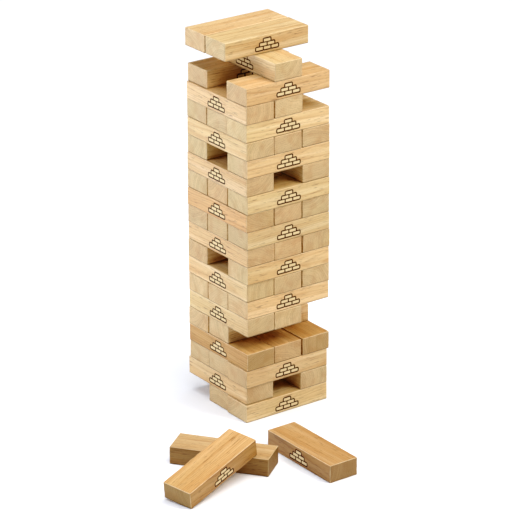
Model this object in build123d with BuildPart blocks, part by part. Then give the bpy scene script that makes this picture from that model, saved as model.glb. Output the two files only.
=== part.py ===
from build123d import *
import math
import os

# Giant tumbling tower in mid-game: hardwood blocks stacked crosswise, with three blocks that
# have already been drawn out lying on the floor beside it.
# +Z is up. The origin is on the floor at the middle of the tower's base. Levels whose blocks lie
# along X show their long sides at the front (-Y), levels that lie along Y show them at the left (-X).

# Driving dimensions, in millimetres
BLOCK_LENGTH = 190.0
BLOCK_HEIGHT = 35.0
USUAL_SEAM = 1.7
EDGE_RADIUS = 1.2
CONTACT_GAP = 0.02

# Three blocks and two seams make a level as wide as a block is long
BLOCK_WIDTH = (BLOCK_LENGTH - 2 * USUAL_SEAM) / 3
BLOCK_PITCH = BLOCK_WIDTH + USUAL_SEAM

# Middle line of each place in a level: along Y for a level that lies along X, and the reverse
PLACES = {
    "front": -BLOCK_PITCH,
    "left": -BLOCK_PITCH,
    "middle": 0.0,
    "back": BLOCK_PITCH,
    "right": BLOCK_PITCH,
}

# Every level from the floor up: the axis that its blocks lie along, and each block still in it
# with how far play has pushed it along its length and sideways, in millimetres
LEVELS = [
    ("X", {"front": (-3.0, -0.3), "middle": (0.0, 0.0)}),
    ("Y", {"left": (3.0, 0.0), "right": (-0.5, -3.0)}),
    ("X", {"front": (-2.5, 0.0), "middle": (0.5, 0.5), "back": (0.5, -0.8)}),
    ("Y", {"left": (0.0, 0.0), "middle": (0.5, 0.0), "right": (-0.5, 1.6)}),
    ("X", {"middle": (1.0, 0.0), "back": (-0.5, 0.5)}),
    ("Y", {"left": (0.5, 0.8), "middle": (-0.5, -0.5)}),
    ("X", {"front": (0.5, 0.8), "middle": (-0.5, -0.5), "back": (0.5, 1.0)}),
    ("Y", {"left": (2.0, 0.8), "middle": (0.0, -0.5), "right": (0.5, 1.3)}),
    ("X", {"front": (0.5, 0.0), "back": (-0.5, 0.5)}),
    ("Y", {"left": (0.5, 0.6), "middle": (-0.5, -0.7), "right": (0.0, 1.9)}),
    ("X", {"front": (0.5, -0.5), "middle": (0.0, 0.0), "back": (-0.5, 0.0)}),
    ("Y", {"left": (-0.5, -1.5), "middle": (0.5, 0.0), "right": (0.0, 0.3)}),
    ("X", {"front": (0.0, -1.3), "middle": (0.5, 0.3), "back": (0.0, 0.8)}),
    ("Y", {"left": (0.5, -0.5), "right": (0.0, 0.3)}),
    ("X", {"front": (0.5, 0.0), "back": (0.5, 0.3)}),
    ("Y", {"left": (0.0, 0.0), "middle": (-0.5, -1.0), "right": (0.5, 0.3)}),
    ("X", {"front": (-0.5, 0.8), "middle": (0.0, -0.5), "back": (1.0, 1.9)}),
    ("Y", {"left": (-0.5, -0.8), "middle": (0.5, 1.4)}),
    ("X", {"front": (-0.5, 0.0), "back": (2.5, 0.3)}),
    ("Y", {"middle": (0.5, 0.5)}),
    ("X", {"middle": (-2.0, 0.0), "back": (-3.0, 0.0)}),
]

# Loose blocks on the floor: middle and heading of the two flat ones, and for the leaning one the
# corner that it stands on
UNDER_MIDDLE = (-231.5, -209.0)
UNDER_HEADING = -53.2
RIGHT_MIDDLE = (-94.5, -295.5)
RIGHT_HEADING = -89.8
LEANING_FOOT = (-385.5, -325.0)
LEANING_HEADING = 15.4


def level_place(axis, height, middle, along, sideways):
    """Plane of the underside of a block in the tower."""
    if axis == "X":
        return Plane(origin=(along, middle + sideways, height), x_dir=(1, 0, 0), z_dir=(0, 0, 1))
    return Plane(origin=(middle + sideways, along, height), x_dir=(0, 1, 0), z_dir=(0, 0, 1))


def floor_place(middle, heading):
    """Plane of the underside of a block that lies flat on the floor."""
    direction = Vector(1, 0, 0).rotate(Axis.Z, heading)
    return Plane(origin=(middle[0], middle[1], 0), x_dir=direction, z_dir=(0, 0, 1))


def leaning_place(support, foot, heading):
    """Plane of the underside of a block that stands on a rounded corner and leans on support.

    The block turns about the support's upper edge until its lowest corner meets the floor, so its
    underside is tangent to two roundings: the edge's, and the ball at its own lowest corner.
    """
    ball = Vector(foot[0], foot[1], EDGE_RADIUS)
    edge = support.origin - support.y_dir * (BLOCK_WIDTH / 2 - EDGE_RADIUS)
    reach = (edge - ball).dot(support.y_dir)
    rise = BLOCK_HEIGHT - 2 * EDGE_RADIUS
    between_roundings = 2 * EDGE_RADIUS + CONTACT_GAP
    tilt = math.atan2(rise, reach) + math.asin(between_roundings / math.hypot(reach, rise))

    edge_axis = Axis((0, 0, 0), support.x_dir)
    lengthwise = Vector(1, 0, 0).rotate(Axis.Z, heading).rotate(edge_axis, math.degrees(tilt))
    upright = Vector(0, 0, 1).rotate(edge_axis, math.degrees(tilt))
    crosswise = upright.cross(lengthwise)
    origin = (
        ball
        + lengthwise * (BLOCK_LENGTH / 2 - EDGE_RADIUS)
        + crosswise * (BLOCK_WIDTH / 2 - EDGE_RADIUS)
        - upright * EDGE_RADIUS
    )
    return Plane(origin=origin, x_dir=lengthwise, z_dir=upright)


def make_block(name, place):
    """One hardwood block with its edges and corners rounded over, in a node of its own."""
    with BuildPart() as block:
        with BuildSketch(place):
            Rectangle(BLOCK_LENGTH, BLOCK_WIDTH)
        extrude(amount=BLOCK_HEIGHT)
        fillet(block.edges(), EDGE_RADIUS)
    block.part.label = name
    export_step(block.part, f"parts/{name}.step")


os.makedirs("parts", exist_ok=True)

# The tower
for index, (axis, blocks) in enumerate(LEVELS):
    for place_name, (along, sideways) in blocks.items():
        underside = level_place(axis, index * BLOCK_HEIGHT, PLACES[place_name], along, sideways)
        make_block(f"level_{index + 1:02d}_{place_name}", underside)

# The blocks drawn out so far
under = floor_place(UNDER_MIDDLE, UNDER_HEADING)
make_block("loose_block_under", under)
make_block("loose_block_leaning", leaning_place(under, LEANING_FOOT, LEANING_HEADING))
make_block("loose_block_right", floor_place(RIGHT_MIDDLE, RIGHT_HEADING))
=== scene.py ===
import math
import random

import bmesh
import bpy
import numpy as np
from mathutils import Matrix, Vector


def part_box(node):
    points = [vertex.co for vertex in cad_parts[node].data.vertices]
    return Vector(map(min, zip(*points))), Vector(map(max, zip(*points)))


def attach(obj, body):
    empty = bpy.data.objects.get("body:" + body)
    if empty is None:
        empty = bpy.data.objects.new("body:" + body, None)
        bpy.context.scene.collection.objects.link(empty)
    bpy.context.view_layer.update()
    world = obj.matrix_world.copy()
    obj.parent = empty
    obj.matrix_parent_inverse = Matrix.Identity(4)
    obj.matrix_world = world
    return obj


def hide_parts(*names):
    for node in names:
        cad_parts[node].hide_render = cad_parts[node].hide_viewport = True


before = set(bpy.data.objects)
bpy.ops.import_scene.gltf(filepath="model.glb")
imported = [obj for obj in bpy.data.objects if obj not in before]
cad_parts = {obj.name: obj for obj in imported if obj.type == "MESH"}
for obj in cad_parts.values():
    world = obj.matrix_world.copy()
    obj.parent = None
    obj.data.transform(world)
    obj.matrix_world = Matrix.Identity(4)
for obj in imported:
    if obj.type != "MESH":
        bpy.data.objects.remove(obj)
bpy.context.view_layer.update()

# A tumbling tower in mid-game. Every block is a sanded hardwood stick with its corners rounded
# over, cut from its own piece of log and stamped on both long sides. Lengths are in metres, but
# the wood's and the stamp's own patterns are drawn in millimetres.

MM = 0.001


def srgb(red, green, blue):
    """A colour given as 0 to 255 screen values, as the linear numbers that shaders use."""
    def linear(value):
        value /= 255
        return value / 12.92 if value <= 0.04045 else ((value + 0.055) / 1.055) ** 2.4
    return (linear(red), linear(green), linear(blue), 1.0)


# ---------------------------------------------------------------- shader maths

class Value:
    """A number that varies over a surface. Arithmetic on values adds Math nodes."""

    def __init__(self, graph, socket):
        self.graph = graph
        self.socket = socket

    def math(self, operation, *others):
        return self.graph.math(operation, self, *others)

    def __add__(self, other):
        return self.math("ADD", other)

    def __sub__(self, other):
        return self.math("SUBTRACT", other)

    def __mul__(self, other):
        return self.math("MULTIPLY", other)

    def __truediv__(self, other):
        return self.math("DIVIDE", other)

    def __rsub__(self, other):
        return self.graph.math("SUBTRACT", other, self)

    __radd__ = __add__
    __rmul__ = __mul__

    def abs(self):
        return self.math("ABSOLUTE")

    def sqrt(self):
        return self.math("SQRT")

    def fraction(self):
        return self.math("FRACT")

    def whole(self):
        return self.math("FLOOR")

    def least(self, other):
        return self.math("MINIMUM", other)

    def most(self, other):
        return self.math("MAXIMUM", other)

    def rise(self, start, end):
        """0 up to start, 1 from end on, and a soft step between them."""
        made = self.graph.node(
            "ShaderNodeMapRange",
            {"interpolation_type": "SMOOTHSTEP"},
            {"Value": self, "From Min": start, "From Max": end},
        )
        return Value(self.graph, made.outputs["Result"])

    def fall(self, start, end):
        return 1 - self.rise(start, end)


class Graph:
    """The node tree of a material, built by calls that each return an output."""

    def __init__(self, material):
        material.use_nodes = True
        self.tree = material.node_tree
        self.shader = self.tree.nodes["Principled BSDF"]

    def feed(self, socket, value):
        if isinstance(value, Value):
            value = value.socket
        if isinstance(value, bpy.types.NodeSocket):
            self.tree.links.new(value, socket)
        else:
            socket.default_value = value

    def node(self, kind, settings=None, values=None):
        made = self.tree.nodes.new(kind)
        for name, setting in (settings or {}).items():
            setattr(made, name, setting)
        for name, value in (values or {}).items():
            self.feed(made.inputs[name], value)
        return made

    def math(self, operation, *terms):
        made = self.node("ShaderNodeMath", {"operation": operation}, dict(enumerate(terms)))
        return Value(self, made.outputs[0])

    def vector(self, operation, *terms):
        made = self.node("ShaderNodeVectorMath", {"operation": operation}, dict(enumerate(terms)))
        return made.outputs["Vector"]

    def parts(self, vector):
        made = self.node("ShaderNodeSeparateXYZ", values={"Vector": vector})
        return [Value(self, output) for output in made.outputs]

    def attribute(self, name):
        return self.node("ShaderNodeAttribute", {"attribute_name": name}).outputs["Vector"]

    def noise(self, vector, scale, detail=2.0, roughness=0.5):
        """Noise from 0 to 1 on a vector stretched by scale, which is in repeats per millimetre."""
        stretched = self.vector("MULTIPLY", vector, scale)
        made = self.node(
            "ShaderNodeTexNoise",
            {"noise_dimensions": "3D"},
            {"Vector": stretched, "Scale": 1.0, "Detail": detail, "Roughness": roughness},
        )
        return Value(self, made.outputs["Fac"])

    def random(self, value):
        """A number from 0 to 1 that is the same wherever value is the same."""
        made = self.node("ShaderNodeTexWhiteNoise", {"noise_dimensions": "1D"}, {"W": value})
        return Value(self, made.outputs["Value"])

    def mix(self, factor, first, second, blend="MIX"):
        """Mixes two colours."""
        made = self.node(
            "ShaderNodeMix",
            {"data_type": "RGBA", "blend_type": blend, "clamp_factor": True},
            {"Factor": factor, 6: first, 7: second},
        )
        return made.outputs[2]

    def finish(self, **values):
        """Feeds the surface shader's sockets, named with _ for each space."""
        for name, value in values.items():
            self.feed(self.shader.inputs[name.replace("_", " ")], value)


# ---------------------------------------------------------------- the block's own sizes

def side_lengths(node):
    low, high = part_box(node)
    return sorted(high - low, reverse=True)


LENGTH, WIDTH, HEIGHT = side_lengths("level_01_middle")
TOWER_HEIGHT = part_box("level_21_middle")[1].z
EDGE_RADIUS = 1.2 * MM
EDGE_CELL = 3 * MM
DENT_DEPTH = 0.40 * MM

# ---------------------------------------------------------------- the wood

# The log that a block is cut from, in millimetres: where its pith may lie from the block's middle,
# and in radians how far the grain may run off the block's length
RING_WIDTH = 4.2
LOG_LENGTH = 4000
NEAREST_PITH, FURTHEST_PITH = 35, 120
GRAIN_SLANT = 0.035

PALE_WOOD = srgb(214, 183, 131)
RING_WOOD = srgb(178, 132, 80)
GINGER_WOOD = srgb(190, 138, 76)
FLECK = srgb(112, 66, 34)
GINGER_TINT = (0.93, 0.70, 0.46, 1)
ROSY_TINT = (1.0, 0.93, 0.88, 1)
SAGE_TINT = (0.95, 1.0, 0.90, 1)
# Painted shade on the sides and ends of some blocks
SIDE_SHADE_TINT = (0.56, 0.45, 0.27, 1)
END_WOOD = srgb(206, 178, 131)
END_PORE = srgb(138, 104, 62)
STAMP_BROWN = srgb(66, 27, 6)
# Cream of the pale streaks, and of the painted highlight along the edges
CREAM_STREAK_AND_HIGHLIGHT = srgb(238, 216, 172)
# Painted shade along each block's lower edge
SEAM_SHADE_BROWN = srgb(84, 50, 22)
STAMP_CREAM = srgb(226, 202, 152)

# How the wood of a block differs from the next: its lightness, how ginger it is, and how much
# painted shade browns its sides and ends against its broad faces
WOODS = {
    "cream": (1.03, 0.0, 0.0),
    "plain": (0.99, 0.06, 0.0),
    "straw": (0.96, 0.0, 0.0),
    "honey": (0.98, 0.25, 0.0),
    "ginger": (0.94, 0.6, 0.0),
    "tawny": (0.92, 0.8, 0.25),
    "amber": (0.90, 0.7, 0.6),
    "brown": (0.72, 0.65, 0.5),
    "olive": (0.74, 0.1, 1.0),
}
COMMON_WOODS = ["cream", "plain", "plain", "straw", "honey"]
PICKED_WOODS = {
    "level_21_middle": "cream",
    "level_21_back": "cream",
    "level_19_front": "honey",
    "level_15_front": "cream",
    "level_11_front": "straw",
    "level_12_left": "ginger",
    "level_04_left": "tawny",
    "level_04_middle": "ginger",
    "level_04_right": "tawny",
    "loose_block_under": "olive",
    "loose_block_leaning": "amber",
    "loose_block_right": "brown",
}


# The stamp, a small stack of bricks in three courses, in millimetres
HALF_BRICK, HALF_COURSE, BRICK_CORNER = 6.4, 1.6, 1.0
BRICK_PITCH, COURSE_PITCH = 17.4, 7.3
# How far from a brick its cream fill, its outline and the scorched wood around it fade out
FILL_EDGE = (-0.25, 0.15)
OUTLINE_EDGE = (2.4, 2.9)
SCORCH_EDGE = (1.0, 4.5)
# The height above a block's lower edge at which the painted shade along that edge fades out
SEAM_SHADE_EDGE = (0.8, 2.4)


def stamp_distance(along, upward):
    """Distance in millimetres from the nearest of the stamp's bricks."""
    along = along.abs()
    bricks = [
        (0.0, COURSE_PITCH),
        (BRICK_PITCH / 2, 0.0),
        (0.0, -COURSE_PITCH),
        (BRICK_PITCH, -COURSE_PITCH),
    ]
    nearest = None
    for middle, height in bricks:
        past_end = ((along - middle).abs() - HALF_BRICK).most(0.0)
        past_top = ((upward - height).abs() - HALF_COURSE).most(0.0)
        distance = (past_end * past_end + past_top * past_top).sqrt() - BRICK_CORNER
        nearest = distance if nearest is None else nearest.least(distance)
    return nearest


def growth_rings(graph, log):
    """Rings about the pith that wander along the log: their numbers, and their dark late wood."""
    wander = graph.noise(log, (0.006, 0.03, 0.03), 2.0)
    ripple = graph.noise(log, (0.02, 0.16, 0.16), 1.0)
    _, log_y, log_z = graph.parts(log)
    radius = (log_y * log_y + log_z * log_z).sqrt() + wander * 16 + ripple * 1.4
    rings = radius / RING_WIDTH
    number = rings.whole()
    place_in_ring = rings.fraction()
    strength = graph.random(number) * 0.8 + 0.2
    late = place_in_ring.rise(0.4, 0.9) * place_in_ring.fall(0.92, 1.0) * strength
    return number, late


def long_faces(graph, log, late, fleck, pore):
    """Colour of the faces that run with the grain: rings, lines, broad streaks, flecks, pores."""
    line = graph.noise(log, (0.008, 0.42, 0.42), 2.0, 0.5).rise(0.52, 0.72)
    streak = graph.noise(log, (0.003, 0.075, 0.075), 2.0, 0.5)
    wood = graph.mix(late * 0.62, PALE_WOOD, RING_WOOD)
    wood = graph.mix(line * 0.30, wood, RING_WOOD)
    wood = graph.mix(streak.rise(0.50, 0.68) * 0.36, wood, GINGER_WOOD)
    wood = graph.mix(streak.fall(0.36, 0.46) * 0.32, wood, CREAM_STREAK_AND_HIGHLIGHT)
    wood = graph.mix(fleck * 0.45, wood, FLECK)
    return graph.mix(pore * 0.25, wood, FLECK)


def sawn_ends(graph, log, ring, late):
    """Colour of the ends, where each year's ring has its own depth and the pores are dots."""
    year = graph.random(ring + 0.5)
    dots = graph.noise(log, (0.02, 0.6, 0.6), 3.0, 0.65).rise(0.48, 0.72)
    patch = graph.noise(log, (0.02, 0.05, 0.05), 1.0)
    sawn = graph.mix(year * 0.16 + late * 0.26 + dots * 0.36, END_WOOD, END_PORE)
    return graph.mix(patch.rise(0.45, 0.7) * 0.3, sawn, RING_WOOD)


def toned(graph, wood, log, fibre, end, broad):
    """The wood in its block's own tone, with a rosy or greenish cast that drifts along the log."""
    lightness, ginger, painted_side_shade = graph.parts(graph.attribute("tone"))
    cast = graph.noise(log, (0.002, 0.006, 0.006), 1.0)
    cloud = graph.noise(log, (0.010, 0.03, 0.03), 1.0)
    wood = graph.mix(cast.rise(0.50, 0.62) * 0.8, wood, ROSY_TINT, "MULTIPLY")
    wood = graph.mix(cast.fall(0.38, 0.50) * 0.4, wood, SAGE_TINT, "MULTIPLY")
    wood = graph.mix(ginger * (1 - end * 0.5), wood, GINGER_TINT, "MULTIPLY")
    # Painted shade: some blocks' sides and ends are browned against their broad faces
    wood = graph.mix(painted_side_shade * (1 - broad), wood, SIDE_SHADE_TINT, "MULTIPLY")
    shade = lightness * (0.86 + fibre * 0.14 + cloud * 0.16)
    shades = graph.node("ShaderNodeCombineXYZ", values={"X": shade, "Y": shade, "Z": shade})
    return graph.mix(1.0, wood, shades.outputs[0], "MULTIPLY")


def hardwood():
    """Sanded hardwood with worn edges that carry a painted highlight, painted shade along the lower
    edges and on some blocks' sides, and the stamp printed on both long sides.
    """
    material = bpy.data.materials.new("sanded_hardwood")
    graph = Graph(material)
    log = graph.attribute("log")
    block = graph.attribute("block")
    along, across, upward = graph.parts(block)

    # How far round onto the end, a long side, a broad face or an edge a point is
    half = [side / 2 / MM for side in (LENGTH, WIDTH, HEIGHT)]
    rounding = EDGE_RADIUS / MM
    end, side, broad = [
        value.abs().rise(reach - rounding, reach - 0.3 * rounding)
        for value, reach in zip((along, across, upward), half)
    ]
    edge = (end * side).most(side * broad).most(end * broad)

    ring, late = growth_rings(graph, log)
    fibre = graph.noise(log, (0.012, 1.0, 1.0), 3.0, 0.6)
    fleck = graph.noise(log, (0.05, 0.55, 0.55), 1.0).rise(0.63, 0.70)
    pore = graph.noise(log, (0.11, 1.5, 1.5), 1.0).rise(0.62, 0.70)
    wood = graph.mix(end, long_faces(graph, log, late, fleck, pore), sawn_ends(graph, log, ring, late))
    wood = toned(graph, wood, log, fibre, end, broad)

    # Edges are rubbed pale and carry a painted highlight, and painted shade darkens the lower ones
    wood = graph.mix(edge * 0.65, wood, CREAM_STREAK_AND_HIGHLIGHT)
    # Painted shade: a dark band along the lower edge of each block's sides and ends
    painted_seam_shade = (upward + half[2]).fall(*SEAM_SHADE_EDGE) * (1 - broad)
    wood = graph.mix(painted_seam_shade * 0.85, wood, SEAM_SHADE_BROWN)

    smudge = graph.noise(block, (0.9, 0.9, 0.9), 2.0)
    distance = stamp_distance(along, upward) + (smudge - 0.5) * 0.5
    outline = distance.fall(*OUTLINE_EDGE) * side
    fill = distance.fall(*FILL_EDGE) * side
    scorch = distance.fall(*SCORCH_EDGE) * side
    worn = 0.97 - fibre.rise(0.6, 0.9) * 0.25
    wood = graph.mix(scorch * 0.18, wood, STAMP_BROWN)
    wood = graph.mix(outline * worn, wood, STAMP_BROWN)
    wood = graph.mix(fill * 0.92, wood, STAMP_CREAM)

    height = fibre * 0.10 + late * 0.06 - pore * 0.12 - fleck * 0.10 - outline * (1 - fill) * 0.22
    bump = graph.node(
        "ShaderNodeBump", values={"Strength": 0.6, "Distance": 1 * MM, "Height": height}
    )
    graph.finish(
        Base_Color=wood,
        Roughness=(0.42 + end * 0.14 + fibre * 0.12).most(outline * 0.9),
        Normal=bump.outputs["Normal"],
        IOR=1.45,
        Specular_IOR_Level=0.36,
    )
    return material


# ---------------------------------------------------------------- the block's shape

def deselect():
    if bpy.context.object and bpy.context.object.mode != "OBJECT":
        bpy.ops.object.mode_set(mode="OBJECT")
    bpy.ops.object.select_all(action="DESELECT")


def cut_lengthwise_edges(block, axis, cuts):
    """Divides the long straight edges that run along one axis."""
    shape = bmesh.from_edit_mesh(block.data)
    for edge in shape.edges:
        run = edge.verts[1].co - edge.verts[0].co
        edge.select = abs(run[axis]) > 0.99 * run.length and run.length > 4 * EDGE_RADIUS
    shape.select_flush_mode()
    bmesh.update_edit_mesh(block.data)
    bpy.ops.mesh.subdivide(number_cuts=cuts)


def knock_edges(block, basis, size):
    """Presses small dents into the rounded edges, inwards only."""
    knocks = bpy.data.textures.new(block.name + "_knocks", "CLOUDS")
    knocks.noise_basis = basis
    knocks.noise_scale = size
    knocks.noise_depth = 1
    knocks.contrast = 4.0
    knocks.intensity = 0.72
    knocks.use_clamp = True
    edges = block.vertex_groups.new(name="edges")
    half = Vector((LENGTH, WIDTH, HEIGHT)) / 2
    for vertex in block.data.vertices:
        # Only at an edge are two faces near
        _, second_nearest, _ = sorted(side - abs(place) for side, place in zip(half, vertex.co))
        on_edge = second_nearest < 0.9 * EDGE_RADIUS
        edges.add([vertex.index], 1.0 if on_edge else 0.0, "REPLACE")
    dents = block.modifiers.new("dents", "DISPLACE")
    dents.texture = knocks
    dents.texture_coords = "LOCAL"
    dents.vertex_group = "edges"
    dents.mid_level = 0.0
    dents.strength = -DENT_DEPTH
    bpy.ops.object.modifier_apply(modifier="dents")
    block.vertex_groups.clear()


def model_block(name, basis, size):
    """One block lying along X with its middle at the origin."""
    deselect()
    bpy.ops.mesh.primitive_cube_add(size=1, location=(0, 0, 0), scale=(LENGTH, WIDTH, HEIGHT))
    block = bpy.context.object
    block.name = name
    bpy.ops.object.transform_apply(location=False, rotation=False, scale=True)
    bpy.ops.object.mode_set(mode="EDIT")
    bpy.ops.mesh.select_mode(type="EDGE")
    bpy.ops.mesh.select_all(action="SELECT")
    bpy.ops.mesh.bevel(offset=EDGE_RADIUS, segments=4, affect="EDGES")
    for axis, side in enumerate((LENGTH, WIDTH, HEIGHT)):
        cut_lengthwise_edges(block, axis, round((side - 2 * EDGE_RADIUS) / EDGE_CELL) - 1)
    bpy.ops.mesh.select_all(action="SELECT")
    bpy.ops.mesh.normals_make_consistent(inside=False)
    bpy.ops.object.mode_set(mode="OBJECT")
    knock_edges(block, basis, size)
    bpy.ops.object.shade_smooth()
    block.modifiers.new("flat_faces", "WEIGHTED_NORMAL")
    bpy.ops.object.modifier_apply(modifier="flat_faces")
    return block


def set_attribute(mesh, name, rows):
    """Gives every vertex a vector of its own for the material to read."""
    made = mesh.attributes.new(name, "FLOAT_VECTOR", "POINT")
    made.data.foreach_set("vector", np.asarray(rows, np.float32).ravel())


def places(mesh):
    """The vertices' places, one row each."""
    rows = np.empty(len(mesh.vertices) * 3, np.float32)
    mesh.vertices.foreach_get("co", rows)
    return rows.reshape(-1, 3)


# ---------------------------------------------------------------- placing the blocks

def seat(node):
    """Where a block stands: its middle, and the directions of its length, width and height.

    The length points towards +X, or towards +Y in a block that lies along Y.
    """
    faces = sorted(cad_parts[node].data.polygons, key=lambda face: -face.area)
    upward = faces[0].normal.copy()
    crosswise = next(f.normal for f in faces if abs(f.normal.dot(upward)) < 0.01).copy()
    if upward.z < 0:
        upward.negate()
    lengthwise = crosswise.cross(upward)
    if lengthwise.x + lengthwise.y * 0.1 < -0.05:
        lengthwise.negate()
    crosswise = upward.cross(lengthwise)
    low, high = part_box(node)
    turn = Matrix((lengthwise, crosswise, upward)).transposed().to_4x4()
    return Matrix.Translation((low + high) / 2) @ turn


def log_rows(block_rows, rng):
    """The block's points in the log that it was cut from, whose pith runs along its own X."""
    turn = Matrix.Rotation(rng.uniform(-GRAIN_SLANT, GRAIN_SLANT), 3, "Z")
    turn = turn @ Matrix.Rotation(rng.uniform(-GRAIN_SLANT, GRAIN_SLANT), 3, "Y")
    angle = rng.uniform(0, 2 * math.pi)
    pith = rng.uniform(NEAREST_PITH, FURTHEST_PITH)
    shift = Vector((rng.uniform(0, LOG_LENGTH), pith * math.cos(angle), pith * math.sin(angle)))
    return block_rows @ np.array(turn).T + np.array(shift)


rng = random.Random(21)
wood = hardwood()
masters = [
    model_block("block_pattern_1", "ORIGINAL_PERLIN", 9 * MM),
    model_block("block_pattern_2", "IMPROVED_PERLIN", 7 * MM),
    model_block("block_pattern_3", "VORONOI_F2", 12 * MM),
]
for master in masters:
    set_attribute(master.data, "block", places(master.data) / MM)
    master.data.materials.append(wood)

for index, node in enumerate(sorted(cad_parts)):
    master = masters[index % len(masters)]
    mesh = master.data.copy()
    mesh.name = node + "_wood"
    set_attribute(mesh, "log", log_rows(places(mesh) / MM, rng))
    common = rng.choice(COMMON_WOODS)
    lightness, ginger, painted_side_shade = WOODS[PICKED_WOODS.get(node, common)]
    lightness *= rng.uniform(0.95, 1.03)
    set_attribute(mesh, "tone", [(lightness, ginger, painted_side_shade)] * len(mesh.vertices))
    mesh.transform(seat(node))
    piece = bpy.data.objects.new(node + "_wood", mesh)
    bpy.context.scene.collection.objects.link(piece)
    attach(piece, node)
    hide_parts(node)

for master in masters:
    bpy.data.objects.remove(master)

# ---------------------------------------------------------------- studio

FLOOR_SIDE = 60
WORLD_LIGHT = 0.10
UPPER_HALF = (0, 0, 0.75 * TOWER_HEIGHT)

deselect()
bpy.ops.mesh.primitive_plane_add(size=FLOOR_SIDE, location=(0, 0, 0))
floor = bpy.context.object
floor.name = "studio_floor"
paper = bpy.data.materials.new("pale_paper")
Graph(paper).finish(Base_Color=(0.90, 0.90, 0.895, 1), Roughness=0.9)
floor.data.materials.append(paper)


def soft_light(name, place, aim, size, power, colour):
    """A round lamp that the camera doesn't see."""
    lamp = bpy.data.lights.new(name, "AREA")
    lamp.shape = "DISK"
    lamp.size = size
    lamp.energy = power
    lamp.color = colour
    made = bpy.data.objects.new(name, lamp)
    made.location = place
    made.rotation_euler = (Vector(place) - Vector(aim)).to_track_quat("Z", "Y").to_euler()
    made.visible_camera = False
    bpy.context.scene.collection.objects.link(made)


soft_light("key", (1.0, -1.9, 2.2), UPPER_HALF, 0.9, 40, (1.0, 0.95, 0.87))
soft_light("fill", (-1.9, 0.7, 1.6), UPPER_HALF, 1.0, 27, (0.68, 0.78, 1.0))
soft_light("sheen", (-1.2, 1.8, 0.45), UPPER_HALF, 0.7, 22, (0.88, 0.94, 1.0))

overhead = bpy.data.lights.new("overhead", "SUN")
overhead.energy = 3.0
overhead.color = (0.98, 1.0, 1.06)
overhead.angle = math.radians(60)
sky = bpy.data.objects.new("overhead", overhead)
sky.rotation_euler = (math.radians(8), math.radians(4), 0)
bpy.context.scene.collection.objects.link(sky)

world = bpy.data.worlds.new("studio")
world.use_nodes = True
background = world.node_tree.nodes["Background"]
background.inputs["Color"].default_value = (1, 1, 1, 1)
background.inputs["Strength"].default_value = WORLD_LIGHT
bpy.context.scene.world = world

# A print's darks are deeper and warmer than light alone makes them: each pair is a linear
# brightness and the one that it is shown at
PRINT_DARKS = [(0.03, 0.012), (0.08, 0.055), (0.20, 0.19), (0.35, 0.35)]
view = bpy.context.scene.view_settings
view.view_transform = "Standard"
view.use_curve_mapping = True
for light, shown in PRINT_DARKS:
    view.curve_mapping.curves[3].points.new(light, shown)
view.curve_mapping.update()

# ---------------------------------------------------------------- camera

AZIMUTH, ELEVATION, ROLL = (math.radians(angle) for angle in (-35.98, 22.12, -0.145))
DISTANCE = 29.8 * LENGTH
LENS = 210.2
AIM_SIDEWAYS = -0.025 * LENGTH
AIM_HEIGHT = TOWER_HEIGHT / 2 - 0.426 * LENGTH

back = Vector((
    math.sin(AZIMUTH) * math.cos(ELEVATION),
    -math.cos(AZIMUTH) * math.cos(ELEVATION),
    math.sin(ELEVATION),
))
rightward = Vector((math.cos(AZIMUTH), math.sin(AZIMUTH), 0))
camera = bpy.data.cameras.new("camera")
camera.lens = LENS
camera.sensor_width = 36
camera.clip_end = 200
eye = bpy.data.objects.new("camera", camera)
eye.location = Vector((0, 0, AIM_HEIGHT)) + rightward * AIM_SIDEWAYS + back * DISTANCE
turn = (-back).to_track_quat("-Z", "Y").to_matrix().to_4x4()
eye.rotation_euler = (turn @ Matrix.Rotation(ROLL, 4, "Z")).to_euler()
bpy.context.scene.collection.objects.link(eye)
bpy.context.scene.camera = eye
